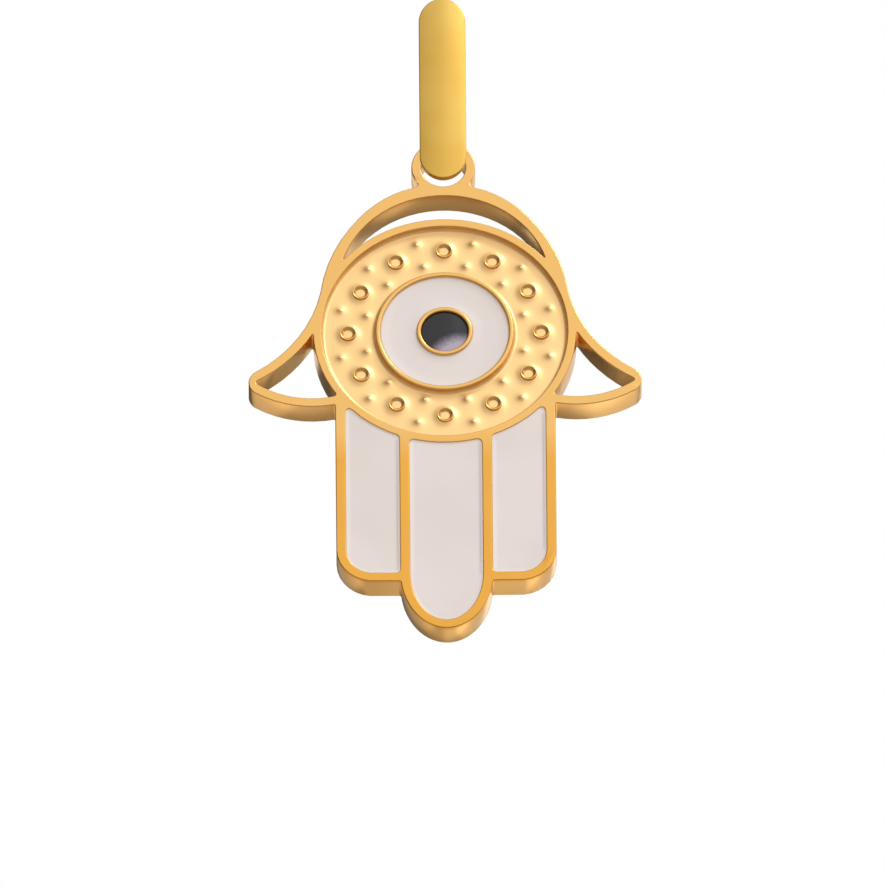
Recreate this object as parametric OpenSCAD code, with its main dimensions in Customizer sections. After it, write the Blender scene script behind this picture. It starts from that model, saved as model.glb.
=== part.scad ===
// Hamsa pendant: an open, hand-shaped plate with an enamelled eye and fingers,
// hanging from a bail with a long leaf. It hangs along -Z, its front faces -Y, and the
// origin is the inside top of the bail's loop, where the chain runs through.

/* [Plate] */
// Thickness of the plate, front to back
plate_t = 1.2; // [0.9:0.05:1.6]
// Overall width across the tips of the two thumbs
hand_w = 16; // [15:0.1:18]
// Width of the metal walls round the openings and between the enamel fields
wall_w = 0.41; // [0.3:0.01:0.5]
// Height of the arch's crown above the middle of the eye
crown_h = 7.07; // [6.9:0.01:7.6]
// Thickness of the arch at its crown
crown_band = 0.59; // [0.45:0.01:0.7]
// Radius of the arch's inner edge, over the crescent opening
arch_inner_r = 4.32; // [4.2:0.01:4.4]
// Depth of the thumbs' lower edge below the middle of the eye
thumb_low = 3.5; // [3.4:0.01:3.9]

/* [Disc] */
// Outer diameter of the disc, over its raised rim
disc_d = 10.72; // [10.5:0.01:10.9]
// Width of the raised rim
rim_w = 0.35; // [0.25:0.01:0.45]
// Depth of the sunk floor below the front face
floor_depth = 0.29; // [0.22:0.01:0.35]
// Radius of the cove where the floor meets its walls
floor_cove = 0.14; // [0.08:0.01:0.2]

/* [Eye] */
// Outer diameter of the ring round the eye
eye_ring_d = 5.66; // [5.2:0.01:5.9]
// Width of the ring round the eye
eye_ring_w = 0.22; // [0.18:0.01:0.35]
// Outer diameter of the ring round the pupil
pupil_ring_d = 2.3; // [2:0.01:2.8]
// Width of the ring round the pupil
pupil_ring_w = 0.19; // [0.15:0.01:0.3]
// Height of the pupil's polished dome
pupil_dome = 0.1; // [0.05:0.01:0.15]

/* [Bosses and grains] */
// Number of bosses round the floor, with two grains between each pair
boss_n = 12; // [8:1:14]
// Diameter of the circle through the middles of the bosses
boss_circle_d = 7.86; // [7.7:0.01:8]
// Diameter of one boss
boss_d = 0.67; // [0.5:0.01:0.8]
// Height of a boss above the floor
boss_h = 0.17; // [0.12:0.01:0.22]
// Width of the lip round the dish in the top of a boss
boss_lip = 0.09; // [0.06:0.01:0.12]
// Depth of the dish in the top of a boss
dish_depth = 0.07; // [0.04:0.01:0.1]
// Diameter of the circle through the outer grains
outer_grain_circle_d = 8.8; // [8.7:0.01:9]
// Diameter of the circle through the inner grains
inner_grain_circle_d = 6.6; // [6.5:0.01:6.8]
// Diameter of one grain
grain_d = 0.28; // [0.2:0.01:0.36]
// Height of a grain above the floor
grain_h = 0.09; // [0.06:0.01:0.12]

/* [Fingers] */
// Width over the three fingers
palm_w = 8.97; // [8.6:0.01:9.2]
// Width of the middle finger
middle_w = 3.78; // [3.4:0.01:4]
// Depth of the outer fingers' ends below the middle of the eye
outer_finger_low = 11.99; // [10:0.01:12.3]
// Depth of the middle finger's end below the middle of the eye
middle_finger_low = 14.25; // [13.6:0.01:16]
// Height of the middle finger's rounded end
middle_end_h = 2.65; // [2.4:0.01:2.9]
// Radius of the outer fingers' lower outside corners
finger_corner_r = 1.5; // [1.2:0.01:1.6]

/* [Eyelet] */
// Height of the eyelet's middle above the crown of the arch
eyelet_rise = 0.77; // [0.7:0.01:0.9]
// Diameter of the hole in the eyelet
eyelet_hole_d = 1.82; // [1.8:0.01:1.95]
// Width of metal round the hole
eyelet_wall = 0.39; // [0.3:0.01:0.5]

/* [Enamel] */
// Depth of the fields that the enamel fills
enamel_bed = 0.5; // [0.4:0.01:0.6]
// How far the fingers' enamel stays below the front face
finger_enamel_drop = 0.05; // [0.02:0.01:0.1]
// How far the eye's enamel stays below the front face
eye_enamel_drop = 0.1; // [0.05:0.01:0.15]
// Gap between a filling and the metal round it
fill_gap = 0.02; // [0.01:0.005:0.03]

/* [Bail] */
// Width of the flat leaf
leaf_w = 1.9; // [1.8:0.01:2.2]
// Thickness of the leaf
leaf_t = 0.42; // [0.36:0.01:0.5]
// Height of the leaf's rounded ends
leaf_end_h = 1.1; // [0.8:0.01:1.4]
// How far the leaf's top stays below the inside top of the loop
leaf_top_drop = 0; // [0:0.01:0.5]
// How far the leaf's lower end reaches below the middle of the loop's lower bend
leaf_reach = 2.42; // [1.8:0.01:3]
// Thickness of the loop's wire
wire_d = 0.46; // [0.4:0.01:0.6]
// How far the wire stands out behind the leaf
wire_out = 0.08; // [0.05:0.01:0.12]
// Inside width of the loop, front to back
loop_inner_d = 1.7; // [1.66:0.01:3]
// Straight length between the loop's two bends
loop_leg = 5.32; // [4.5:0.01:7]
// Gap between the eyelet and the bend that carries it
seat_gap = 0.05; // [0.04:0.01:0.08]

/* [Hidden] */
$fn = 96;
// overshoot that lets a cut break cleanly through a face
cut = 0.5;
// step between points along a drawn arc, in degrees
arc_step = 6;
plate_gold = "#F2BC62";
bail_gold = "#D9AE4F";
ivory = "#E8DDD5";

// The right side of the hand from the crown to the root of the thumb. Columns: x as a share
// of half the hand's width, z as a share of crown_h above the eye's middle or of thumb_low
// below it, and the arc on to the next row as its rise over half its chord, inward if negative.
side_rows = [
    [0, 1, 0.223],
    [0.429, 0.772, 0.15],
    [0.63, 0.273, -0.2115],
    [0.966, -0.543, 0.55],
    [0.9625, -0.84, 0.19]
];
// rows of side_rows whose arcs bound the thumb opening
waist_row = 2;
thumb_row = 4;

disc_r = disc_d / 2;
floor_outer_r = disc_r - rim_w;
eye_ring_r = eye_ring_d / 2;
eye_field_r = eye_ring_r - eye_ring_w;
pupil_ring_r = pupil_ring_d / 2;
pupil_field_r = pupil_ring_r - pupil_ring_w;
crescent_z = crown_h - crown_band - arch_inner_r;
middle_cell_w = middle_w - 2 * wall_w;
middle_end_z = -(middle_finger_low - middle_end_h);
eyelet_z = crown_h + eyelet_rise;
eyelet_hole_r = eyelet_hole_d / 2;
eyelet_r = eyelet_hole_r + eyelet_wall;

loop_in_r = loop_inner_d / 2;
loop_mid_r = loop_in_r + wire_d / 2;
bend_top_z = -loop_in_r;
bend_low_z = bend_top_z - loop_leg;
leaf_back_y = -(loop_in_r + wire_out);
leaf_top_z = -leaf_top_drop;
leaf_low_z = bend_low_z - leaf_reach;
// the eyelet's hole sits this far below the lower bend's middle
seat_drop = sqrt(pow(loop_in_r, 2) - pow(plate_t / 2, 2)) + eyelet_hole_r - seat_gap;
eye_z = bend_low_z - seat_drop - eyelet_z;

function side_point(row) = [
    row[0] * hand_w / 2,
    row[1] * (row[1] > 0 ? crown_h : thumb_low)
];
side_points = concat([for (row = side_rows) side_point(row)], [[palm_w / 2, -thumb_low]]);

function reversed(list) = [for (i = [len(list) - 1 : -1 : 0]) list[i]];

// An arc from p to q that rises to the left of the way: its middle, its radius and its points
function left_of(p, q) = [p[1] - q[1], q[0] - p[0]] / norm(q - p);
function arc_radius(p, q, rise) = norm(q - p) * (1 + rise * rise) / (4 * rise);
function arc_middle(p, q, rise) =
    (p + q) / 2 + left_of(p, q) * (rise * norm(q - p) / 2 - arc_radius(p, q, rise));
function arc_points(p, q, rise) =
    let (
        c = arc_middle(p, q, rise),
        r = abs(arc_radius(p, q, rise)),
        start = atan2(p[1] - c[1], p[0] - c[0]),
        sweep = -4 * atan(rise),
        steps = ceil(abs(sweep) / arc_step)
    )
    [for (i = [0 : steps - 1]) c + r * [cos(start + sweep * i / steps), sin(start + sweep * i / steps)]];

// The half ellipse at a finger's end, from its right side to its tip
function end_points(half_w, z, h) =
    [for (a = [0 : arc_step : 90]) [half_w * cos(a), z - h * sin(a)]];

function corner_points(x, z, r) =
    [for (a = [0 : arc_step * 2 : 90]) [x - r + r * cos(a), z + r - r * sin(a)]];

// Where the middle finger's rounded end leaves the outer fingers' lower edge
notch_x = middle_w / 2 * sqrt(1 - pow(max(0, middle_end_z + outer_finger_low) / middle_end_h, 2));

function right_side() = concat(
    [for (i = [0 : len(side_rows) - 1])
        each arc_points(side_points[i], side_points[i + 1], side_rows[i][2])],
    [[palm_w / 2, -thumb_low]],
    corner_points(palm_w / 2, -outer_finger_low, finger_corner_r),
    [[notch_x, -outer_finger_low]],
    [for (p = end_points(middle_w / 2, middle_end_z, middle_end_h)) if (p[1] < -outer_finger_low) p]
);

module half_outline() {
    polygon(concat([[0, 0]], right_side()));
}

module hand_outline() {
    union() {
        half_outline();
        mirror([1, 0]) half_outline();
        translate([0, eyelet_z]) circle(eyelet_r);
    }
}

// The opening between the arch and the disc
module crescent_opening() {
    difference() {
        translate([0, crescent_z]) circle(arch_inner_r);
        circle(disc_r);
    }
}

// The opening in the right thumb, one wall inside the outline and outside the disc
module thumb_opening() {
    waist = [side_points[waist_row], side_points[waist_row + 1], side_rows[waist_row][2]];
    thumb = [side_points[thumb_row], side_points[thumb_row + 1], side_rows[thumb_row][2]];
    difference() {
        translate(arc_middle(thumb[0], thumb[1], thumb[2]))
            circle(abs(arc_radius(thumb[0], thumb[1], thumb[2])) - wall_w);
        translate(arc_middle(waist[0], waist[1], waist[2]))
            circle(abs(arc_radius(waist[0], waist[1], waist[2])) + wall_w);
        circle(disc_r);
        square([2 * hand_w, 2 * hand_w]);
    }
}

// The field of the right outer finger, drawn in by a gap
module outer_field(gap) {
    left = middle_w / 2 + gap;
    right = palm_w / 2 - wall_w - gap;
    low = -outer_finger_low + wall_w + gap;
    r = finger_corner_r - wall_w - gap;
    difference() {
        polygon(concat([[left, 0], [right, 0]], corner_points(right, low, r), [[left, low]]));
        circle(disc_r + gap);
    }
}

module middle_field(gap) {
    half_w = middle_cell_w / 2 - gap;
    low_end = end_points(half_w, middle_end_z, middle_end_h - wall_w - gap);
    difference() {
        polygon(concat([[-half_w, 0], [half_w, 0]], low_end, [for (p = reversed(low_end)) [-p[0], p[1]]]));
        circle(disc_r + gap);
    }
}

module ring_field(outer_r, inner_r) {
    difference() {
        circle(outer_r);
        circle(inner_r);
    }
}

// Places what is drawn flat, with its front up, where the hand hangs
module hang() {
    translate([0, 0, eye_z]) rotate([90, 0, 0]) children();
}

// A pocket sunk from the front face
module sink(depth) {
    translate([0, 0, plate_t / 2 - depth]) linear_extrude(depth + cut) children();
}

// A filling that stands on the pocket's bed and ends a drop below the front face
module fill(drop) {
    translate([0, 0, plate_t / 2 - enamel_bed + fill_gap])
        linear_extrude(enamel_bed - fill_gap - drop) children();
}

// The sunk floor's section: a pocket with coved lower corners
module floor_section() {
    floor_z = plate_t / 2 - floor_depth;
    floor_w = floor_outer_r - eye_ring_r;
    translate([eye_ring_r, floor_z + floor_cove]) square([floor_w, floor_depth - floor_cove + cut]);
    translate([eye_ring_r + floor_cove, floor_z]) square([floor_w - 2 * floor_cove, floor_cove * 2]);
    translate([eye_ring_r + floor_cove, floor_z + floor_cove]) circle(floor_cove);
    translate([floor_outer_r - floor_cove, floor_z + floor_cove]) circle(floor_cove);
}

// A low round boss with a dished top
module boss() {
    dish_r = boss_d / 2 - boss_lip;
    ball_r = (dish_r * dish_r + dish_depth * dish_depth) / (2 * dish_depth);
    root = floor_depth / 4;
    difference() {
        translate([0, 0, -root]) cylinder(h = boss_h + root, d = boss_d);
        translate([0, 0, boss_h - dish_depth + ball_r]) sphere(ball_r);
    }
}

// A grain: the cap of a small ball that stands out of the floor
module grain() {
    grain_r = grain_d / 2;
    ball_r = (grain_r * grain_r + grain_h * grain_h) / (2 * grain_h);
    translate([0, 0, grain_h - ball_r]) sphere(ball_r, $fn = 32);
}

module relief() {
    pitch = 360 / boss_n;
    translate([0, 0, plate_t / 2 - floor_depth]) for (i = [0 : boss_n - 1]) {
        rotate(i * pitch + 90) translate([boss_circle_d / 2, 0]) boss();
        rotate((i + 0.5) * pitch + 90) translate([outer_grain_circle_d / 2, 0]) grain();
        rotate((i + 0.5) * pitch + 90) translate([inner_grain_circle_d / 2, 0]) grain();
    }
}

module hand_frame() {
    color(plate_gold) hang() {
        difference() {
            translate([0, 0, -plate_t / 2]) linear_extrude(plate_t) difference() {
                hand_outline();
                crescent_opening();
                thumb_opening();
                mirror([1, 0]) thumb_opening();
            }
            translate([0, eyelet_z, -plate_t]) cylinder(h = 2 * plate_t, d = eyelet_hole_d);
            rotate_extrude() floor_section();
            sink(enamel_bed) ring_field(eye_field_r, pupil_ring_r);
            sink(enamel_bed) circle(pupil_field_r);
            sink(enamel_bed) outer_field(0);
            sink(enamel_bed) mirror([1, 0]) outer_field(0);
            sink(enamel_bed) middle_field(0);
        }
        relief();
    }
}

module enamel_finger_left() {
    color(ivory) hang() fill(finger_enamel_drop) mirror([1, 0]) outer_field(fill_gap);
}

module enamel_finger_middle() {
    color(ivory) hang() fill(finger_enamel_drop) middle_field(fill_gap);
}

module enamel_finger_right() {
    color(ivory) hang() fill(finger_enamel_drop) outer_field(fill_gap);
}

module enamel_eye() {
    color(ivory) hang() fill(eye_enamel_drop)
        ring_field(eye_field_r - fill_gap, pupil_ring_r + fill_gap);
}

// The pupil's dome ends level with the front face
module pupil() {
    base_r = pupil_field_r - fill_gap;
    ball_r = (base_r * base_r + pupil_dome * pupil_dome) / (2 * pupil_dome);
    color("#2B2528") hang() intersection() {
        fill(0) circle(base_r);
        translate([0, 0, plate_t / 2 - ball_r]) sphere(ball_r);
    }
}

// A half turn of the wire round X, on the lower side
module bend() {
    rotate([-90, 0, 0]) rotate([0, 90, 0]) rotate_extrude(angle = 180)
        translate([loop_mid_r, 0]) circle(d = wire_d);
}

// The closed loop of wire: its front leg lies in the back of the leaf
module loop() {
    translate([0, 0, bend_top_z - loop_leg / 2]) for (turn = [0, 180]) {
        rotate([turn, 0, 0]) translate([0, 0, -loop_leg / 2]) bend();
        rotate(turn) translate([0, loop_mid_r, 0]) cylinder(h = loop_leg, d = wire_d, center = true);
    }
}

module leaf() {
    low_end = end_points(leaf_w / 2, leaf_low_z + leaf_end_h, leaf_end_h);
    top_end = [for (p = reversed(low_end)) [p[0], leaf_top_z + leaf_low_z - p[1]]];
    right = concat(top_end, low_end);
    translate([0, leaf_back_y, 0]) rotate([90, 0, 0]) linear_extrude(leaf_t)
        polygon(concat(right, [for (p = reversed(right)) if (p[0] > cut / 100) [-p[0], p[1]]]));
}

module bail() {
    color(bail_gold) union() {
        leaf();
        loop();
    }
}

hand_frame();
enamel_finger_left();
enamel_finger_middle();
enamel_finger_right();
enamel_eye();
pupil();
bail();
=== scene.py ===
# Hamsa pendant: an open gold plate in the form of a hand, with an enamelled eye and fingers, on a long bail.
import bmesh
import bpy
import math
from mathutils import Matrix, Vector


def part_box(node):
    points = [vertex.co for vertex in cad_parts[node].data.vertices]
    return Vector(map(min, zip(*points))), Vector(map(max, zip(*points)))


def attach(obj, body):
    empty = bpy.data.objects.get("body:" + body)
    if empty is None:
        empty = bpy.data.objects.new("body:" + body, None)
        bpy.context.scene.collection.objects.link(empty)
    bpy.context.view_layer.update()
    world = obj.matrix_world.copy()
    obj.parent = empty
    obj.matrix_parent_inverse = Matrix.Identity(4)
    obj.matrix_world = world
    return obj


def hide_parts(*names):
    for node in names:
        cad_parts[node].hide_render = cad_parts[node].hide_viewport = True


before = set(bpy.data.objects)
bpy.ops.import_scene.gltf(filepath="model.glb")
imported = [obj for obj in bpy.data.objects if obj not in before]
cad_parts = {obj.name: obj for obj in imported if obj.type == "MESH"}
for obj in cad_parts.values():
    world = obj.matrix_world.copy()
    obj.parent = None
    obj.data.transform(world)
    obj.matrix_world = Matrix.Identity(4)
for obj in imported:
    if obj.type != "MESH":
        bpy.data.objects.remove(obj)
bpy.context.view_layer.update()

millimetre = 0.001
eyeLow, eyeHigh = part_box("enamel_eye")
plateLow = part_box("hand_frame")[0]
bailLow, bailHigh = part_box("bail")
eyeHeight = (eyeLow.z + eyeHigh.z) / 2 / millimetre    # the eye's middle, below the origin
faceY = plateLow.y / millimetre                        # the plate's front face


# Pieces are worked in millimetres round the eye's middle, and go back to metres when they are finished.
def nodeCopy(nodeName):
    bm = bmesh.new()
    bm.from_mesh(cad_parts[nodeName].data)
    bmesh.ops.scale(bm, vec=Vector((1, 1, 1)) / millimetre, verts=bm.verts)
    bmesh.ops.translate(bm, vec=(0, 0, -eyeHeight), verts=bm.verts)
    bmesh.ops.remove_doubles(bm, verts=bm.verts, dist=0.0008)
    return bm


def joinFlats(bm):
    # the copy's triangles become the flat faces they were cut from
    bmesh.ops.dissolve_limit(bm, angle_limit=math.radians(0.6), use_dissolve_boundaries=False,
                             verts=bm.verts, edges=bm.edges, delimit=set())


def eyeDistance(point):
    return math.hypot(point.x, point.z)


def middle(edge):
    return (edge.verts[0].co + edge.verts[1].co) / 2


def flatGap(a, b):
    return math.hypot(a.x - b.x, a.z - b.z)


def uprightEdges(bm):
    # edges that run straight through the plate, front to back
    found = []
    for edge in bm.edges:
        along = edge.verts[1].co - edge.verts[0].co
        if len(edge.link_faces) == 2 and abs(along.y) > 0.99 * along.length:
            found.append(edge)
    return found


def creases(bm, degrees):
    return [edge for edge in bm.edges
            if len(edge.link_faces) == 2 and edge.calc_face_angle(0) > math.radians(degrees)]


def bevelEdges(bm, edges, offset, segments, clamp=True):
    bmesh.ops.bevel(bm, geom=edges, offset=offset, offset_type="OFFSET", segments=segments,
                    profile=0.5, affect="EDGES", clamp_overlap=clamp, loop_slide=clamp, material=-1)


def besideCorner(corner, upright, corners, reach):
    # the upright edges met on the way out from a corner along its own two walls
    crowd = []
    here = middle(corner)
    for wall in corner.link_faces:
        face, edge = wall, corner
        while True:
            across = [other for other in face.edges if other != edge and other in upright]
            if not across or across[0] in corners or flatGap(middle(across[0]), here) > reach:
                break
            edge = across[0]
            crowd.append(edge)
            face = next(other for other in edge.link_faces if other != face)
    return crowd


def moveSeams(bm, vert, corner, reach):
    # A flat face with holes in it is kept in parts by seams. One that ends here moves along the rim, away
    # from the corner.
    bm.normal_update()
    for seam in [edge for edge in vert.link_edges
                 if len(edge.link_faces) == 2 and edge.calc_face_angle(0) < math.radians(0.5)]:
        far = seam.other_vert(vert)
        ways = []
        for loop in [item for face in seam.link_faces for item in face.loops if item.vert == vert]:
            onward = loop.edge != seam
            rim = loop.edge if onward else loop.link_loop_prev.edge
            if loop.is_convex:
                ways.append((flatGap(rim.other_vert(vert).co, corner), len(ways), loop, onward))
        if not ways:
            continue
        loop, onward = max(ways, key=lambda way: way[:2])[2:]
        face = loop.face
        here, gone = vert, 0
        while True:
            edge = loop.edge if onward else loop.link_loop_prev.edge
            if gone + edge.calc_length() > reach:
                break
            gone += edge.calc_length()
            here = edge.other_vert(here)
            loop = loop.link_loop_next if onward else loop.link_loop_prev
        place = bmesh.utils.edge_split(edge, here, (reach - gone) / edge.calc_length())[1]
        bmesh.utils.face_split(face, far, place)
        bmesh.ops.dissolve_edges(bm, edges=[seam], use_verts=False)


# How corners are found and rounded. The shares are of the length that the rounding takes up on a wall.
cornerRules = {
    "sharpDegrees": 18, "searchReach": 0.09, "crowdShare": 1.1, "seamShare": 1.3, "steps": 6,
}


def roundCorners(bm, corners, grow):
    # Rounds upright corners off. The short facets beside a corner make way for its rounding first.
    for x, z, radius in corners:
        for side in (1, -1):
            upright = set(uprightEdges(bm))
            sharp = {edge for edge in upright
                     if edge.calc_face_angle(0) > math.radians(cornerRules["sharpDegrees"])}
            place = Vector((x * side, 0, z))
            near = [edge for edge in sharp if flatGap(middle(edge), place) < cornerRules["searchReach"]]
            if near:
                edge = min(near, key=lambda item: flatGap(middle(item), place))
                reach = (radius + grow) * math.tan(edge.calc_face_angle(0) / 2)
                crowd = besideCorner(edge, upright, sharp, reach * cornerRules["crowdShare"])
                for vert in [vert for standing in [edge, *crowd] for vert in standing.verts]:
                    moveSeams(bm, vert, middle(edge), reach * cornerRules["seamShare"])
                bmesh.ops.dissolve_edges(bm, edges=crowd, use_verts=True)
                bevelEdges(bm, [edge], reach, cornerRules["steps"])


def finishPiece(bm, name, materials, body, nodeNames):
    bmesh.ops.recalc_face_normals(bm, faces=bm.faces)
    bmesh.ops.translate(bm, vec=(0, 0, eyeHeight), verts=bm.verts)
    bmesh.ops.scale(bm, vec=Vector((1, 1, 1)) * millimetre, verts=bm.verts)
    for face in bm.faces:
        face.smooth = True
    mesh = bpy.data.meshes.new(name)
    bm.to_mesh(mesh)
    bm.free()
    for material in materials:
        mesh.materials.append(material)
    piece = bpy.data.objects.new(name, mesh)
    bpy.context.scene.collection.objects.link(piece)
    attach(piece, body)
    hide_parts(*nodeNames)
    print("piece", name, len(mesh.polygons), "faces")
    return piece


def weighShading(piece):
    # flat faces stay flat in the shading, and the rounded edges take the turn
    weighted = piece.modifiers.new("Face weighted shading", "WEIGHTED_NORMAL")
    weighted.keep_sharp = True


def revolve(bm, steps):
    # a full turn of the drawn section about the eye's axis
    bmesh.ops.spin(bm, geom=list(bm.verts) + list(bm.edges), cent=(0, 0, 0), axis=(0, 1, 0),
                   angle=math.radians(360), steps=steps, use_merge=True)
    bmesh.ops.remove_doubles(bm, verts=bm.verts, dist=0.0005)


sectionSteps = 5    # facets in each rounded corner of a turned section


def drawSection(bm, corners, closed):
    # A section as a chain of edges. Columns: distance from the axis, depth below the face, rounding.
    verts = [bm.verts.new((reach, faceY + depth, 0)) for reach, depth, _ in corners]
    for first, second in zip(verts, verts[1:]):
        bm.edges.new((first, second))
    if closed:
        bm.edges.new((verts[-1], verts[0]))
    for vert, corner in zip(verts, corners):
        if corner[2] > 0:
            bmesh.ops.bevel(bm, geom=[vert], offset=corner[2], offset_type="OFFSET",
                            segments=sectionSteps, profile=0.5, affect="VERTICES", clamp_overlap=True, material=-1)


def linearColour(hexColour):
    channels = []
    for start in (0, 2, 4):
        value = int(hexColour[start:start + 2], 16) / 255
        channels.append(value / 12.92 if value <= 0.04045 else ((value + 0.055) / 1.055) ** 2.4)
    return (*channels, 1)


def addNode(tree, kind, settings, links):
    # settings: a socket by name or number, or a property of the node; links: input socket to (node, output)
    node = tree.nodes.new(kind)
    for name, value in settings.items():
        if isinstance(name, int) or name in node.inputs:
            node.inputs[name].default_value = value
        else:
            setattr(node, name, value)
    for name, (source, output) in links.items():
        tree.links.new(source.outputs[output], node.inputs[name])
    return node


def newMaterial(name):
    material = bpy.data.materials.new(name)
    material.use_nodes = True
    tree = material.node_tree
    tree.nodes.clear()
    return material, tree


def colourRamp(tree, source, output, stops):
    ramp = addNode(tree, "ShaderNodeValToRGB", {}, {"Fac": (source, output)})
    elements = ramp.color_ramp.elements
    elements[0].position, elements[0].color = stops[0][0], linearColour(stops[0][1])
    elements[1].position, elements[1].color = stops[-1][0], linearColour(stops[-1][1])
    for position, hexColour in stops[1:-1]:
        elements.new(position).color = linearColour(hexColour)
    return ramp


# Gold-plated brass, cast and polished: nearly a mirror, so the studio gives it its tone. Painted light and shade:
# the palm, the walls and the back are painted paler, as if lit by a whiter light, and the front of the fingers a
# deeper, more orange tone. The mop left faint clouds that soften what it reflects.
polishedGold = {
    "pale": "E8B66A", "paleTop": "E5B66E", "deep": "E0A44A", "deepBottom": "E3A74A",
    # the deep tone, which is painted shade, fades out from palmLow up to palmHigh, and from frontTo back to
    # backFrom
    "palmLow": -6.2, "palmHigh": -4.8, "frontTo": -0.56, "backFrom": -0.4,
    "roughness": 0.3, "cloudMm": 2.5, "grainMm": 0.12, "grainDepth": 0.001,
}


def makePolishedGold():
    g = polishedGold
    material, tree = newMaterial("polished gold plating")
    place = addNode(tree, "ShaderNodeTexCoord", {}, {})
    axes = addNode(tree, "ShaderNodeSeparateXYZ", {}, {"Vector": (place, "Object")})
    clouds = addNode(tree, "ShaderNodeTexNoise", {"Scale": 1 / (g["cloudMm"] * millimetre), "Detail": 3},
                     {"Vector": (place, "Object")})
    upper = colourRamp(tree, clouds, "Fac", [(0.35, g["pale"]), (0.65, g["paleTop"])])
    lower = colourRamp(tree, clouds, "Fac", [(0.35, g["deep"]), (0.65, g["deepBottom"])])
    height = addNode(tree, "ShaderNodeMapRange",
                     {"From Min": (eyeHeight + g["palmLow"]) * millimetre, "To Min": 1,
                      "From Max": (eyeHeight + g["palmHigh"]) * millimetre, "To Max": 0}, {"Value": (axes, "Z")})
    front = addNode(tree, "ShaderNodeMapRange",
                    {"From Min": g["frontTo"] * millimetre, "To Min": 1,
                     "From Max": g["backFrom"] * millimetre, "To Max": 0}, {"Value": (axes, "Y")})
    # painted shade: 1 on the front of the fingers below the palm, where the deeper tone is painted
    paintedShadeMask = addNode(tree, "ShaderNodeMath", {"operation": "MULTIPLY"},
                      {0: (height, "Result"), 1: (front, "Result")})
    colour = addNode(tree, "ShaderNodeMixRGB", {}, {"Fac": (paintedShadeMask, "Value"), "Color1": (upper, "Color"),
                                                     "Color2": (lower, "Color")})
    rough = addNode(tree, "ShaderNodeMapRange", {"From Min": 0.3, "From Max": 0.7,
                    "To Min": g["roughness"] * 0.8, "To Max": g["roughness"] * 1.2}, {"Value": (clouds, "Fac")})
    grain = addNode(tree, "ShaderNodeTexNoise", {"Scale": 1 / (g["grainMm"] * millimetre), "Detail": 2},
                    {"Vector": (place, "Object")})
    bump = addNode(tree, "ShaderNodeBump", {"Strength": 0.5, "Distance": g["grainDepth"] * millimetre},
                   {"Height": (grain, "Fac")})
    metal = addNode(tree, "ShaderNodeBsdfPrincipled", {"Metallic": 1},
                    {"Base Color": (colour, "Color"), "Roughness": (rough, "Result"), "Normal": (bump, "Normal")})
    addNode(tree, "ShaderNodeOutputMaterial", {}, {"Surface": (metal, "BSDF")})
    return material


# The same plating on the cast floor, which was blasted before plating and lacquered after it: satin, so the
# light spreads softly over the relief, with a paler shine where the lacquer catches the light.
satinGold = {
    "light": "FCD38E", "deep": "F8CC86", "roughness": 0.46, "coatRoughness": 0.3, "cloudMm": 3.5, "grainMm": 0.07,
    "grainDepth": 0.002,
}


def makeSatinGold():
    material, tree = newMaterial("satin gold plating")
    place = addNode(tree, "ShaderNodeTexCoord", {}, {})
    clouds = addNode(tree, "ShaderNodeTexNoise", {"Scale": 1 / (satinGold["cloudMm"] * millimetre), "Detail": 2},
                     {"Vector": (place, "Object")})
    colour = colourRamp(tree, clouds, "Fac", [(0.3, satinGold["deep"]), (0.7, satinGold["light"])])
    grain = addNode(tree, "ShaderNodeTexNoise", {"Scale": 1 / (satinGold["grainMm"] * millimetre), "Detail": 3},
                    {"Vector": (place, "Object")})
    bump = addNode(tree, "ShaderNodeBump", {"Strength": 0.5, "Distance": satinGold["grainDepth"] * millimetre},
                   {"Height": (grain, "Fac")})
    metal = addNode(tree, "ShaderNodeBsdfPrincipled",
                    {"Metallic": 1, "Roughness": satinGold["roughness"], "Coat Weight": 1,
                     "Coat Roughness": satinGold["coatRoughness"]},
                    {"Base Color": (colour, "Color"), "Normal": (bump, "Normal")})
    addNode(tree, "ShaderNodeOutputMaterial", {}, {"Surface": (metal, "BSDF")})
    return material


# Ivory enamel, poured and fired: smooth and glossy, opaque, with faint milky clouds in its depth.
ivoryEnamel = {
    "milk": "FBF1EA", "shade": "F6EBE3", "roughness": 0.16, "cloudMm": 5, "waveMm": 2.2, "waveDepth": 0.003,
}


def makeIvoryEnamel():
    material, tree = newMaterial("ivory enamel")
    place = addNode(tree, "ShaderNodeTexCoord", {}, {})
    clouds = addNode(tree, "ShaderNodeTexNoise", {"Scale": 1 / (ivoryEnamel["cloudMm"] * millimetre), "Detail": 2},
                     {"Vector": (place, "Object")})
    colour = colourRamp(tree, clouds, "Fac", [(0.35, ivoryEnamel["shade"]), (0.65, ivoryEnamel["milk"])])
    waves = addNode(tree, "ShaderNodeTexNoise", {"Scale": 1 / (ivoryEnamel["waveMm"] * millimetre), "Detail": 1},
                    {"Vector": (place, "Object")})
    bump = addNode(tree, "ShaderNodeBump", {"Strength": 0.4, "Distance": ivoryEnamel["waveDepth"] * millimetre},
                   {"Height": (waves, "Fac")})
    glass = addNode(tree, "ShaderNodeBsdfPrincipled", {"Roughness": ivoryEnamel["roughness"], "IOR": 1.5},
                    {"Base Color": (colour, "Color"), "Normal": (bump, "Normal")})
    addNode(tree, "ShaderNodeOutputMaterial", {}, {"Surface": (glass, "BSDF")})
    return material


# Black enamel, domed and fired to a high gloss, with a painted reflection low in the pupil: a violet-grey
# crescent of reflected light painted into the colour of the black.
blackEnamel = {
    # core is the enamel's own black; the violet and milk tones are the painted reflection
    "core": "1A1617", "paintedReflectionViolet": "5A5162", "milk": "C2B6C5", "roughness": 0.2,
    # the painted reflection is round: where its middle lies from the eye's middle, right and up, and its radii
    "paintedReflectionAt": (0.72, -1.65), "paintedReflectionFull": 1.22, "paintedReflectionHalf": 1.6, "paintedReflectionEnd": 1.74, "speckMm": 0.1, "speck": 0.22,
}


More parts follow.
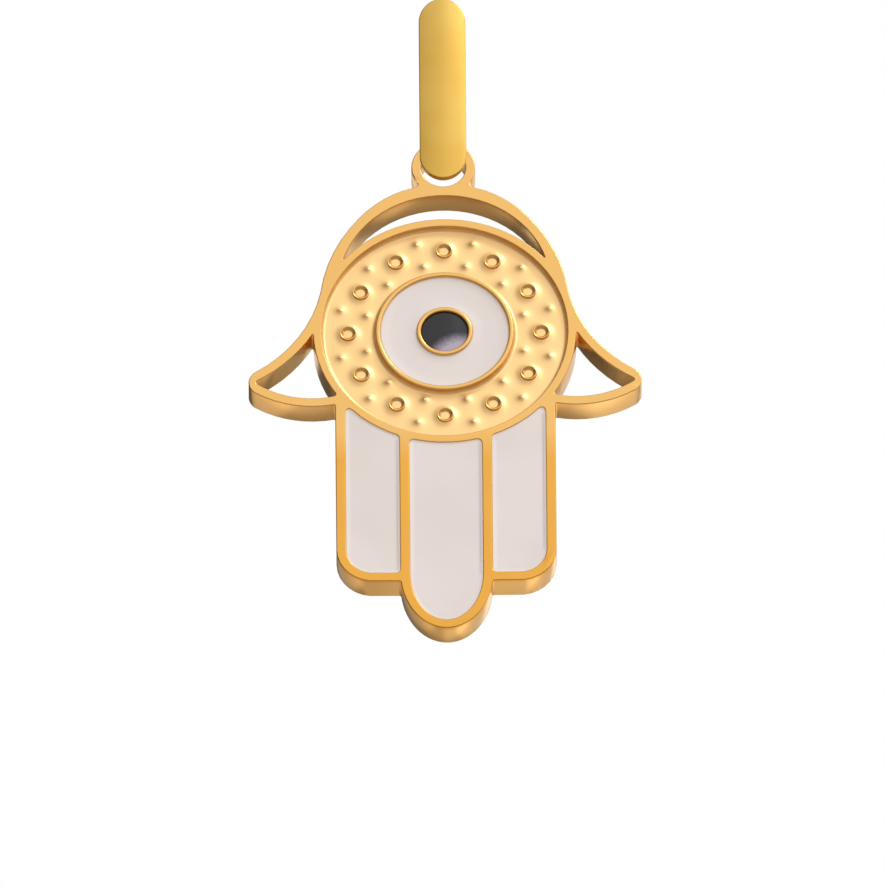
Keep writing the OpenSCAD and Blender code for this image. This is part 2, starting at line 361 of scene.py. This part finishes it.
def makeBlackEnamel():
    b = blackEnamel
    material, tree = newMaterial("black enamel")
    place = addNode(tree, "ShaderNodeTexCoord", {}, {})
    across, up = b["paintedReflectionAt"]
    centre = (across * millimetre, 0, (eyeHeight + up) * millimetre)
    flat = addNode(tree, "ShaderNodeVectorMath", {"operation": "MULTIPLY", 1: (1, 0, 1)}, {0: (place, "Object")})
    away = addNode(tree, "ShaderNodeVectorMath", {"operation": "DISTANCE", 1: centre}, {0: (flat, "Vector")})
    specks = addNode(tree, "ShaderNodeTexNoise", {"Scale": 1 / (b["speckMm"] * millimetre), "Detail": 2},
                     {"Vector": (place, "Object")})
    reach = addNode(tree, "ShaderNodeMath", {"operation": "MULTIPLY", 1: 1 / millimetre}, {0: (away, "Value")})
    speckled = addNode(tree, "ShaderNodeMath", {"operation": "MULTIPLY_ADD", 1: b["speck"]},
                       {0: (specks, "Fac"), 2: (reach, "Value")})
    # painted reflection: full at the crescent's middle, fading to the black core at its edge, specks breaking the
    # edge
    paintedReflection = addNode(tree, "ShaderNodeMapRange", {"From Min": b["paintedReflectionFull"], "From Max": b["paintedReflectionEnd"],
                    "To Min": 1, "To Max": 0}, {"Value": (speckled, "Value")})
    half = (b["paintedReflectionEnd"] - b["paintedReflectionHalf"]) / (b["paintedReflectionEnd"] - b["paintedReflectionFull"])
    colour = colourRamp(tree, paintedReflection, "Result", [(0, b["core"]), (half, b["paintedReflectionViolet"]), (1, b["milk"])])
    glass = addNode(tree, "ShaderNodeBsdfPrincipled", {"Roughness": b["roughness"], "IOR": 1.5},
                    {"Base Color": (colour, "Color")})
    addNode(tree, "ShaderNodeOutputMaterial", {}, {"Surface": (glass, "BSDF")})
    return material


# Gold plating on the bail, brushed across its width: fine level lines that stretch the light sideways.
brushedGold = {
    "light": "DDB660", "deep": "D3A84E", "roughness": 0.32, "lineMm": 0.07, "lineDepth": 0.0022, "cloudMm": 3,
    "lineStretch": 0.04,    # a line's width as a share of its length
}


def makeBrushedGold():
    material, tree = newMaterial("brushed gold plating")
    place = addNode(tree, "ShaderNodeTexCoord", {}, {})
    clouds = addNode(tree, "ShaderNodeTexNoise", {"Scale": 1 / (brushedGold["cloudMm"] * millimetre), "Detail": 2},
                     {"Vector": (place, "Object")})
    colour = colourRamp(tree, clouds, "Fac", [(0.3, brushedGold["deep"]), (0.7, brushedGold["light"])])
    # the pattern is stretched along X, so that its grains become lines
    stretch = addNode(tree, "ShaderNodeMapping", {"Scale": (brushedGold["lineStretch"], 1, 1)},
                      {"Vector": (place, "Object")})
    lines = addNode(tree, "ShaderNodeTexNoise", {"Scale": 1 / (brushedGold["lineMm"] * millimetre), "Detail": 2},
                    {"Vector": (stretch, "Vector")})
    bump = addNode(tree, "ShaderNodeBump", {"Strength": 0.5, "Distance": brushedGold["lineDepth"] * millimetre},
                   {"Height": (lines, "Fac")})
    metal = addNode(tree, "ShaderNodeBsdfPrincipled", {"Metallic": 1, "Roughness": brushedGold["roughness"]},
                    {"Base Color": (colour, "Color"), "Normal": (bump, "Normal")})
    addNode(tree, "ShaderNodeOutputMaterial", {}, {"Surface": (metal, "BSDF")})
    return material


goldPolished = makePolishedGold()
goldSatin = makeSatinGold()
enamelIvory = makeIvoryEnamel()
enamelBlack = makeBlackEnamel()
goldBrushed = makeBrushedGold()
print("materials made")


# The plate: its outline, openings and enamel cells, with the cast corners eased and the edges tumbled.
plateShape = {
    "edgeRounding": 0.045, "edgeSteps": 3, "creaseDegrees": 28, "discPocketDepth": 0.7, "rimInnerRadius": 5.01,
    # columns: distance from the middle plane, height above the eye's middle, radius of the rounding
    "openCorners": [
        (0.96, 6.96, 0.2), (4.135, 3.41, 0.03), (5.36, -0.06, 0.04), (4.4, -3.06, 0.1), (7.773, -2.4, 0.1),
        (4.485, -3.5, 0.06), (1.87, -11.99, 0.08),
    ],
    "cellCorners": [(4.075, -3.48, 0.18), (1.89, -5.016, 0.2), (1.89, -11.58, 0.18), (1.48, -5.15, 0.2)],
}


def makePlate():
    bm = nodeCopy("hand_frame")
    reach = plateShape["rimInnerRadius"]
    # what lies inside the rim is modelled finer as a piece of its own, so the copy keeps a plain pocket there
    spare = [vert for vert in bm.verts if vert.co.y < 0.5
             and (eyeDistance(vert.co) < reach - 0.01
                  or eyeDistance(vert.co) < reach + 0.01 and vert.co.y > faceY + 0.01)]
    bmesh.ops.delete(bm, geom=spare, context="VERTS")
    lip = [edge for edge in bm.edges if edge.is_boundary]
    wall = bmesh.ops.extrude_edge_only(bm, edges=lip)["geom"]
    bmesh.ops.translate(bm, vec=(0, plateShape["discPocketDepth"], 0),
                        verts=[item for item in wall if isinstance(item, bmesh.types.BMVert)])
    bmesh.ops.contextual_create(bm, geom=[item for item in wall if isinstance(item, bmesh.types.BMEdge)])
    joinFlats(bm)
    roundCorners(bm, plateShape["openCorners"] + plateShape["cellCorners"], 0)
    # Not clamped, because the shortest facet would hold the rounding of every edge down to its own length.
    # The upright edges are round already, and their facets are narrower than this rounding.
    upright = set(uprightEdges(bm))
    rims = [edge for edge in creases(bm, plateShape["creaseDegrees"]) if edge not in upright]
    bevelEdges(bm, rims, plateShape["edgeRounding"], plateShape["edgeSteps"], clamp=False)
    piece = finishPiece(bm, "handPlate", [goldPolished], "hand", ["hand_frame"])
    weighShading(piece)


makePlate()


# The disc inside the rim. First its turned body: the coves, the ring round the eye and the ring
# round the pupil. The satin floor between the coves swells into a soft foot under every boss and
# into small pointed grains.
discShape = {
    "rimInner": 5.0, "ringOuter": 2.83, "ringInner": 2.61, "pupilOuter": 1.15, "pupilInner": 0.957,
    "floorDepth": 0.29, "bedDepth": 0.46, "backDepth": 0.65, "cove": 0.14, "ringRounding": 0.075,
    "pupilRoundingShare": 0.9, "overlap": 0.06, "overlapDepth": 0.06,
    "turnSteps": 840, "floorRows": 60,
    "bossCount": 12, "bossCircle": 3.93, "footReach": 0.33, "footHeight": 0.07, "footFall": 0.15, "footPower": 1.4,
    "outerGrains": 4.4, "innerGrains": 3.3, "grainHeight": 0.15, "grainFall": 0.145,
}


def floorLift(point):
    # height of the relief over the floor, from the nearest boss and the nearest pair of grains
    d = discShape
    pitch = math.radians(360 / d["bossCount"])
    reach = eyeDistance(point)
    turn = math.atan2(point.z, point.x) - math.radians(90)
    bossTurn = turn - round(turn / pitch) * pitch
    grainTurn = turn - (math.floor(turn / pitch) + 0.5) * pitch
    away = [math.sqrt(max(0, reach * reach + circle * circle - 2 * reach * circle * math.cos(offTurn)))
            for circle, offTurn in ((d["bossCircle"], bossTurn), (d["outerGrains"], grainTurn),
                                    (d["innerGrains"], grainTurn))]
    foot = d["footHeight"] * math.exp(-((max(0, away[0] - d["footReach"]) / d["footFall"]) ** d["footPower"]))
    grain = d["grainHeight"] * math.exp(-min(away[1:]) / d["grainFall"])
    return foot + grain


def makeDisc():
    bm = bmesh.new()
    d = discShape
    inRim = d["rimInner"] + d["overlap"]    # the body reaches a little into the plate's rim
    pupilRounding = d["ringRounding"] * d["pupilRoundingShare"]
    drawSection(bm, [
        (0, d["backDepth"], 0), (inRim, d["backDepth"], 0), (inRim, d["overlapDepth"], 0),
        (d["rimInner"], d["overlapDepth"], 0), (d["rimInner"], d["floorDepth"], d["cove"]),
        (d["ringOuter"], d["floorDepth"], d["cove"]), (d["ringOuter"], 0, d["ringRounding"]),
        (d["ringInner"], 0, d["ringRounding"]), (d["ringInner"], d["bedDepth"], 0),
        (d["pupilOuter"], d["bedDepth"], 0), (d["pupilOuter"], 0, pupilRounding),
        (d["pupilInner"], 0, pupilRounding), (d["pupilInner"], d["bedDepth"], 0), (0, d["bedDepth"], 0),
    ], False)
    floorY = faceY + d["floorDepth"]
    floorLine = [edge for edge in bm.edges
                 if all(abs(vert.co.y - floorY) < 0.001 for vert in edge.verts) and edge.calc_length() > 1]
    bmesh.ops.subdivide_edges(bm, edges=floorLine, cuts=d["floorRows"])
    revolve(bm, d["turnSteps"])
    for vert in bm.verts:
        if d["ringOuter"] + 0.02 < eyeDistance(vert.co) < d["rimInner"] - 0.02 and 0.1 < vert.co.y - faceY < 0.4:
            vert.co.y -= floorLift(vert.co)
    for face in bm.faces:
        centre = face.calc_center_median()
        if d["ringOuter"] < eyeDistance(centre) < d["rimInner"] and centre.y - faceY < 0.4:
            face.material_index = 1
    finishPiece(bm, "discRelief", [goldPolished, goldSatin], "hand", ["hand_frame"])


makeDisc()


# The twelve bosses: low round posts with a crisp lip and a bowl in the top, polished a little by wear.
bossShape = {
    "height": 0.17, "wallFoot": 0.365, "wallTop": 0.33, "lipInner": 0.285, "lipRounding": 0.015, "bowlDepth": 0.15,
    "root": 0.08, "bowlSteps": 12, "turnSteps": 64,
}


def makeBosses():
    bm = bmesh.new()
    b = bossShape
    crest = discShape["floorDepth"] - b["height"]
    root = discShape["floorDepth"] + b["root"]
    drawSection(bm, [(0, root, 0), (b["wallFoot"], root, 0), (b["wallTop"], crest, b["lipRounding"]),
                     (b["lipInner"], crest, b["lipRounding"])], False)
    ballRadius = (b["lipInner"] ** 2 + b["bowlDepth"] ** 2) / (2 * b["bowlDepth"])
    bottom = bm.verts.new((0, faceY + crest + b["bowlDepth"], 0))
    arc = bmesh.ops.spin(bm, geom=[bottom], cent=(0, bottom.co.y - ballRadius, 0), axis=(0, 0, -1),
                         angle=math.asin(b["lipInner"] / ballRadius) * 0.98, steps=b["bowlSteps"])["geom_last"]
    brink = next(item for item in arc if isinstance(item, bmesh.types.BMVert))
    lip = min((vert for vert in bm.verts if vert != brink and len(vert.link_edges) == 1 and vert.co.x > 0.1),
              key=lambda vert: (vert.co - brink.co).length)
    bm.edges.new((brink, lip))
    revolve(bm, b["turnSteps"])
    post = list(bm.verts) + list(bm.edges) + list(bm.faces)
    for i in range(1, discShape["bossCount"]):
        turned = bmesh.ops.duplicate(bm, geom=post)["geom"]
        verts = [item for item in turned if isinstance(item, bmesh.types.BMVert)]
        bmesh.ops.translate(bm, vec=(0, 0, discShape["bossCircle"]), verts=verts)
        turn = Matrix.Rotation(math.radians(360 * i / discShape["bossCount"]), 3, "Y")
        bmesh.ops.rotate(bm, cent=(0, 0, 0), matrix=turn, verts=verts)
    first = [item for item in post if isinstance(item, bmesh.types.BMVert)]
    bmesh.ops.translate(bm, vec=(0, 0, discShape["bossCircle"]), verts=first)
    finishPiece(bm, "bossPosts", [goldPolished], "hand", ["hand_frame"])


makeBosses()


# The enamel of the fingers: it wets the walls, so its surface climbs a little at the edge of each cell.
fingerEnamel = {
    "nodes": ["enamel_finger_left", "enamel_finger_middle", "enamel_finger_right"],
    "names": ["fingerEnamelLeft", "fingerEnamelMiddle", "fingerEnamelRight"],
    "solidGap": 0.02,    # between the solid and the walls of its cell; intoWall closes it and a little more
    "intoWall": 0.035, "edgeDrop": 0.035, "gridStep": 0.12, "hollow": 0.03, "hollowReach": 0.6,
    # columns: width of the step inwards, sink over that step
    "meniscus": [(0.04, 0.012), (0.03, 0.008), (0.03, 0.006)],
}


def cutGrid(bm, step):
    # a fine net over the surface inside the meniscus, so that it can be hollowed smoothly
    inner = max((face for face in bm.faces if face.normal.y < -0.9), key=lambda face: face.calc_area())
    spots = [vert.co.copy() for vert in inner.verts]
    region = [inner]
    for axis in (0, 2):
        low, high = min(spot[axis] for spot in spots), max(spot[axis] for spot in spots)
        count = int((high - low) / step)
        normal = Vector((0, 0, 0))
        normal[axis] = 1
        for i in range(1, count):
            place = Vector((0, 0, 0))
            place[axis] = low + (high - low) * i / count
            geom = list({item for face in region for item in (face, *face.edges, *face.verts)})
            cut = bmesh.ops.bisect_plane(bm, geom=geom, plane_co=place, plane_no=normal, dist=0.0005)["geom"]
            region = [item for item in cut if isinstance(item, bmesh.types.BMFace)]
    return region, spots


def makeFingerEnamel(nodeName, name):
    bm = nodeCopy(nodeName)
    joinFlats(bm)
    roundCorners(bm, plateShape["cellCorners"], -fingerEnamel["solidGap"])
    bm.normal_update()
    shifts = []
    for vert in bm.verts:
        outward = Vector((vert.normal.x, 0, vert.normal.z))
        shifts.append(outward.normalized() * fingerEnamel["intoWall"])
    for vert, shift in zip(bm.verts, shifts):
        vert.co += shift
    top = [face for face in bm.faces if face.normal.y < -0.9]
    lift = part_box(nodeName)[0].y / millimetre - faceY - fingerEnamel["edgeDrop"]
    bmesh.ops.translate(bm, vec=(0, -lift, 0), verts=list({vert for face in top for vert in face.verts}))
    for width, sink in fingerEnamel["meniscus"]:
        bmesh.ops.inset_region(bm, faces=top, thickness=width, depth=-sink, use_boundary=True, use_even_offset=True)
    net, rim = cutGrid(bm, fingerEnamel["gridStep"])
    for vert in {vert for face in net for vert in face.verts}:
        away = min(flatGap(vert.co, spot) for spot in rim)
        vert.co.y += fingerEnamel["hollow"] * (1 - math.exp(-((away / fingerEnamel["hollowReach"]) ** 2)))
    finishPiece(bm, name, [enamelIvory], "hand", [nodeName])


for nodeName, name in zip(fingerEnamel["nodes"], fingerEnamel["names"]):
    makeFingerEnamel(nodeName, name)


# The enamel round the pupil, with the same climb at both rings.
eyeEnamel = {
    "inner": 1.12, "outer": 2.64, "base": 0.44, "edgeDrop": 0.085, "middleDrop": 0.14, "climb": 0.3,
    "rounding": 0.2, "turnSteps": 192,
}


def makeEyeEnamel():
    bm = bmesh.new()
    e = eyeEnamel
    drawSection(bm, [
        (e["inner"], e["base"], 0), (e["outer"], e["base"], 0), (e["outer"], e["edgeDrop"], 0),
        (e["outer"] - e["climb"], e["middleDrop"], e["rounding"]),
        (e["inner"] + e["climb"], e["middleDrop"], e["rounding"]),
        (e["inner"], e["edgeDrop"], 0),
    ], True)
    revolve(bm, e["turnSteps"])
    finishPiece(bm, "eyeEnamel", [enamelIvory], "hand", ["enamel_eye"])


makeEyeEnamel()


# The pupil: a low lens of black enamel, just under the level of the face.
pupilShape = {
    "radius": 0.965, "tipDrop": 0.04, "edgeDrop": 0.07, "base": 0.44, "domeSteps": 14, "turnSteps": 128,
}


def makePupil():
    bm = bmesh.new()
    p = pupilShape
    ballRadius = (p["radius"] ** 2 + p["edgeDrop"] ** 2) / (2 * p["edgeDrop"])
    tip = bm.verts.new((0, faceY + p["tipDrop"], 0))
    arc = bmesh.ops.spin(bm, geom=[tip], cent=(0, tip.co.y + ballRadius, 0), axis=(0, 0, 1),
                         angle=math.asin(p["radius"] / ballRadius), steps=p["domeSteps"])["geom_last"]
    edge = next(item for item in arc if isinstance(item, bmesh.types.BMVert))
    foot = bm.verts.new((edge.co.x, faceY + p["base"], 0))
    centre = bm.verts.new((0, faceY + p["base"], 0))
    bm.edges.new((edge, foot))
    bm.edges.new((foot, centre))
    revolve(bm, p["turnSteps"])
    finishPiece(bm, "pupilDome", [enamelBlack], "hand", ["pupil"])


makePupil()


# The leaf of the bail: a long stamped strip with half-oval ends, slightly crowned. Its front rim is eased
# and its back rim bevelled away, so that its edge looks thin.
leafShape = {
    "width": 1.9, "thickness": 0.42, "endHeight": 1.1, "topDrop": 0.46, "crown": 0.06,
    "frontRounding": 0.04, "backBevel": 0.24, "rimSteps": 4, "creaseDegrees": 60, "endSteps": 40, "acrossSteps": 24,
}


def makeLeaf():
    bm = bmesh.new()
    leaf = leafShape
    half = leaf["width"] / 2
    frontY = bailLow.y / millimetre
    topZ = bailHigh.z / millimetre - leaf["topDrop"] - leaf["endHeight"] - eyeHeight
    lowZ = bailLow.z / millimetre + leaf["endHeight"] - eyeHeight
    for side, centreZ in ((1, topZ), (-1, lowZ)):
        corner = bm.verts.new((half * side, frontY, 0))
        bmesh.ops.spin(bm, geom=[corner], cent=(0, frontY, 0), axis=(0, -1, 0), angle=math.radians(180),
                       steps=leaf["endSteps"])
        loose = [vert for vert in bm.verts if not vert.tag]
        for vert in loose:
            vert.co.z = centreZ + vert.co.z * leaf["endHeight"] / half
            vert.tag = True
    ends = [vert for vert in bm.verts if len(vert.link_edges) == 1]
    for side in (1, -1):
        bm.edges.new([vert for vert in ends if vert.co.x * side > 0])
    front = bmesh.ops.contextual_create(bm, geom=list(bm.edges))["faces"]
    grown = bmesh.ops.extrude_face_region(bm, geom=front)["geom"]
    bmesh.ops.translate(bm, vec=(0, leaf["thickness"], 0),
                        verts=[item for item in grown if isinstance(item, bmesh.types.BMVert)])
    rims = creases(bm, leaf["creaseDegrees"])
    for depth, offset in ((0, leaf["frontRounding"]), (leaf["thickness"], leaf["backBevel"])):
        rim = [edge for edge in rims
               if edge.is_valid and all(abs(vert.co.y - frontY - depth) < 0.001 for vert in edge.verts)]
        bevelEdges(bm, rim, offset, leaf["rimSteps"])
    for i in range(1, leaf["acrossSteps"]):
        place = (-half + leaf["width"] * i / leaf["acrossSteps"], 0, 0)
        bmesh.ops.bisect_plane(bm, geom=list(bm.verts) + list(bm.edges) + list(bm.faces), plane_co=place,
                               plane_no=(1, 0, 0), dist=0.0005)
    for vert in bm.verts:
        depth = (vert.co.y - frontY) / leaf["thickness"]
        vert.co.y += leaf["crown"] * (vert.co.x / half) ** 2 * (1 - depth)
    piece = finishPiece(bm, "bailLeaf", [goldBrushed], "bail", ["bail"])
    piece.visible_glossy = False    # the plate's neck right behind it would mirror its dark back
    piece.visible_shadow = False    # nor does the photograph show its shadow there


makeLeaf()


# The loop behind the leaf: round wire bent into a long closed oval, soldered along the leaf's back.
wireShape = {
    "thickness": 0.46, "insideRadius": 0.85, "leg": 5.32, "roundSteps": 24, "bendSteps": 48,
}


def makeWire():
    bm = bmesh.new()
    wire = wireShape
    reach = wire["insideRadius"] + wire["thickness"] / 2
    topZ = bailHigh.z / millimetre - wire["insideRadius"] - wire["thickness"] - eyeHeight
    bmesh.ops.create_circle(bm, segments=wire["roundSteps"], radius=wire["thickness"] / 2, cap_ends=False)
    bmesh.ops.translate(bm, vec=(0, -reach, topZ), verts=bm.verts)
    section = list(bm.edges)
    for centreZ, drop in ((topZ, -wire["leg"]), (topZ - wire["leg"], wire["leg"])):
        turned = bmesh.ops.spin(bm, geom=section + list({vert for edge in section for vert in edge.verts}),
                                cent=(0, 0, centreZ), axis=(1, 0, 0), angle=math.radians(-180),
                                steps=wire["bendSteps"])["geom_last"]
        section = [item for item in turned if isinstance(item, bmesh.types.BMEdge)]
        leg = bmesh.ops.extrude_edge_only(bm, edges=section)["geom"]
        legVerts = [item for item in leg if isinstance(item, bmesh.types.BMVert)]
        bmesh.ops.translate(bm, vec=(0, 0, drop), verts=legVerts)
        section = [item for item in leg if isinstance(item, bmesh.types.BMEdge)
                   and all(vert in legVerts for vert in item.verts)]
    bmesh.ops.remove_doubles(bm, verts=bm.verts, dist=0.001)
    finishPiece(bm, "bailWire", [goldBrushed], "bail", ["bail"])


makeWire()


# The stage: a pale floor well below the hanging pendant, and on it a warm grey card that tones what the
# metal reflects from below. The camera sees the floor and not the card, the metal the card and not the floor.
floorSettings = {
    "halfSize": 0.6, "drop": 0.1, "colour": "F1EEEA", "glow": 0.5, "cardLift": 0.001, "cardColour": "CCBFBA",
    "roughness": 0.7,
}


def makeSheetOfCard(name, paperName, height, hexColour, glow):
    # matt paper, even and without shine
    bm = bmesh.new()
    bmesh.ops.create_grid(bm, x_segments=2, y_segments=2, size=floorSettings["halfSize"])
    bmesh.ops.translate(bm, vec=(0, 0, height), verts=bm.verts)
    mesh = bpy.data.meshes.new(name)
    bm.to_mesh(mesh)
    bm.free()
    material, tree = newMaterial(paperName)
    paper = addNode(tree, "ShaderNodeBsdfPrincipled", {
        "Base Color": linearColour(hexColour), "Roughness": floorSettings["roughness"],
        "Emission Color": linearColour(hexColour), "Emission Strength": glow}, {})
    addNode(tree, "ShaderNodeOutputMaterial", {}, {"Surface": (paper, "BSDF")})
    mesh.materials.append(material)
    sheet = bpy.data.objects.new(name, mesh)
    bpy.context.scene.collection.objects.link(sheet)
    return sheet


def makeFloor():
    f = floorSettings
    floor = makeSheetOfCard("studioFloor", "white seamless paper", -f["drop"], f["colour"], f["glow"])
    floor.visible_glossy = floor.visible_diffuse = False
    card = makeSheetOfCard("warmCard", "warm grey card", f["cardLift"] - f["drop"], f["cardColour"], 0)
    card.visible_camera = card.visible_shadow = False


makeFloor()


# Soft studio lights. Columns: azimuth from the front towards the right, elevation, distance and
# size in metres, brightness of the panel, colour.
studioLights = {
    "relief": (41, 49, 0.25, 0.05, 0.05, 24, "E9F3FF"),
    "band": (10, 37, 0.24, 0.016, 0.12, 0.8, "D8E6FF"),
    "backdropGlow": (148, 34, 0.12, 0.16, 0.1, 0.8, "FFFFFF"),
}


# Dim cards behind the pendant, in millimetres from the eye's middle. The ends of the fingers and the thumbs
# reflect the low ones, the left side of the eyelet reflects the one beside it, and the wall of the crescent
# looks past them all.
# Columns: left, right, near, far, lowest, highest, brightness. A card with one depth faces forward,
# and a card at one height faces up.
nearCards = {
    "endsLeft": (-22, -2.2, 9, 27, -25, -25, 0.25), "endsRight": (-2.2, 22, 9, 27, -25, -25, 0.58),
    "thumbLeft": (-20, -5, 4, 10, -9, -9, 0.16), "thumbRight": (5, 20, 4, 10, -9, -9, 0.3),
    "sideLeft": (-34, -12, 20, 20, -32, 0, 0.45), "sideRight": (8, 34, 20, 20, -32, 0, 0.6),
    "eyeletLeft": (-17, -5, 12, 12, 5, 15, 1),
}


def placeLight(name, spot, toLight, width, height, brightness, hexColour):
    data = bpy.data.lights.new(name, "AREA")
    data.shape = "RECTANGLE"
    data.size, data.size_y = width, height
    data.energy = brightness * width * height * math.pi
    data.color = linearColour(hexColour)[:3]
    light = bpy.data.objects.new(name, data)
    light.location = spot
    light.rotation_mode = "QUATERNION"
    light.rotation_quaternion = toLight.to_track_quat("Z", "Y")
    light.visible_camera = False
    bpy.context.scene.collection.objects.link(light)


def makeLights():
    aim = Vector((0, 0, eyeHeight * millimetre))
    for name, (azimuth, elevation, distance, width, height, brightness, hexColour) in studioLights.items():
        turn, rise = math.radians(azimuth), math.radians(elevation)
        toLight = Vector((math.sin(turn) * math.cos(rise), -math.cos(turn) * math.cos(rise), math.sin(rise)))
        placeLight(name, aim + toLight * distance, toLight, width, height, brightness, hexColour)
    for name, (left, right, near, far, low, high, brightness) in nearCards.items():
        spot = aim + Vector(((left + right) / 2, (near + far) / 2, (low + high) / 2)) * millimetre
        facingUp = low == high
        placeLight(name, spot, Vector((0, 0, -1)) if facingUp else Vector((0, 1, 0)), (right - left) * millimetre,
                   (far - near if facingUp else high - low) * millimetre, brightness, "FFFFFF")


makeLights()


# The world: white behind the pendant. What the metal reflects is brighter in front, to the right and
# above, and dim behind, and a dark flag stands to the left, so that the walls go brown and the relief
# has a dark side. The flag's edge is given as a share to the left of the direction looked at.
worldSettings = {
    "backdrop": "FFFFFF", "around": "FFFEFC",
    "level": 0.5, "towardRight": 0.3, "towardBack": -0.64, "towardTop": 0.1, "least": 0.15,
    "flagEdge": -0.3, "flagFull": -0.5, "flagLeft": 0.45,
}


def makeWorld():
    world = bpy.data.worlds.new("studioWorld")
    world.use_nodes = True
    tree = world.node_tree
    tree.nodes.clear()
    w = worldSettings
    place = addNode(tree, "ShaderNodeTexCoord", {}, {})
    slope = addNode(tree, "ShaderNodeVectorMath",
                    {"operation": "DOT_PRODUCT", 1: (w["towardRight"], w["towardBack"], w["towardTop"])},
                    {0: (place, "Generated")})
    level = addNode(tree, "ShaderNodeMapRange", {"From Min": w["least"] - w["level"], "From Max": 1,
                    "To Min": w["least"], "To Max": w["level"] + 1}, {"Value": (slope, "Value")})
    axes = addNode(tree, "ShaderNodeSeparateXYZ", {}, {"Vector": (place, "Generated")})
    flag = addNode(tree, "ShaderNodeMapRange", {"From Min": w["flagFull"], "From Max": w["flagEdge"],
                   "To Min": w["flagLeft"], "To Max": 1}, {"Value": (axes, "X")})
    flagged = addNode(tree, "ShaderNodeMath", {"operation": "MULTIPLY"},
                      {0: (level, "Result"), 1: (flag, "Result")})
    around = addNode(tree, "ShaderNodeBackground", {"Color": linearColour(w["around"])},
                     {"Strength": (flagged, "Value")})
    white = addNode(tree, "ShaderNodeBackground", {"Color": linearColour(w["backdrop"]), "Strength": 1}, {})
    path = addNode(tree, "ShaderNodeLightPath", {}, {})
    seen = addNode(tree, "ShaderNodeMixShader", {},
                   {"Fac": (path, "Is Camera Ray"), 1: (around, "Background"), 2: (white, "Background")})
    addNode(tree, "ShaderNodeOutputWorld", {}, {"Surface": (seen, "Shader")})
    bpy.context.scene.world = world


makeWorld()
bpy.context.scene.view_settings.view_transform = "Standard"
print("stage and lights made")


# The camera looks up at the pendant from below its level, from so far off that the view is parallel.
cameraSettings = {
    "below": 32, "mmPerPixel": 0.0407, "imagePixels": 886, "eyeAt": (444.65, 330.5), "roll": -0.5, "distance": 0.06,
}


def makeCamera():
    c = cameraSettings
    rise = math.radians(c["below"])
    up = Vector((0, -math.sin(rise), math.cos(rise)))
    forward = Vector((0, math.cos(rise), math.sin(rise)))
    eye = Vector((0, faceY * millimetre, eyeHeight * millimetre))
    pixel = c["mmPerPixel"] * millimetre
    centre = c["imagePixels"] / 2
    roll = math.radians(c["roll"])
    right = Vector((1, 0, 0))
    cameraRight = right * math.cos(roll) + up * math.sin(roll)
    cameraUp = up * math.cos(roll) - right * math.sin(roll)
    offRight = (c["eyeAt"][0] - centre) * pixel
    offUp = (centre - c["eyeAt"][1]) * pixel
    data = bpy.data.cameras.new("photoCamera")
    data.type = "ORTHO"
    data.ortho_scale = c["imagePixels"] * pixel
    data.clip_start, data.clip_end = 0.0005, 2
    camera = bpy.data.objects.new("photoCamera", data)
    camera.location = eye - cameraRight * offRight - cameraUp * offUp - forward * c["distance"]
    camera.rotation_mode = "QUATERNION"
    camera.rotation_quaternion = Matrix((cameraRight, cameraUp, -forward)).transposed().to_quaternion()
    bpy.context.scene.collection.objects.link(camera)
    bpy.context.scene.camera = camera


makeCamera()
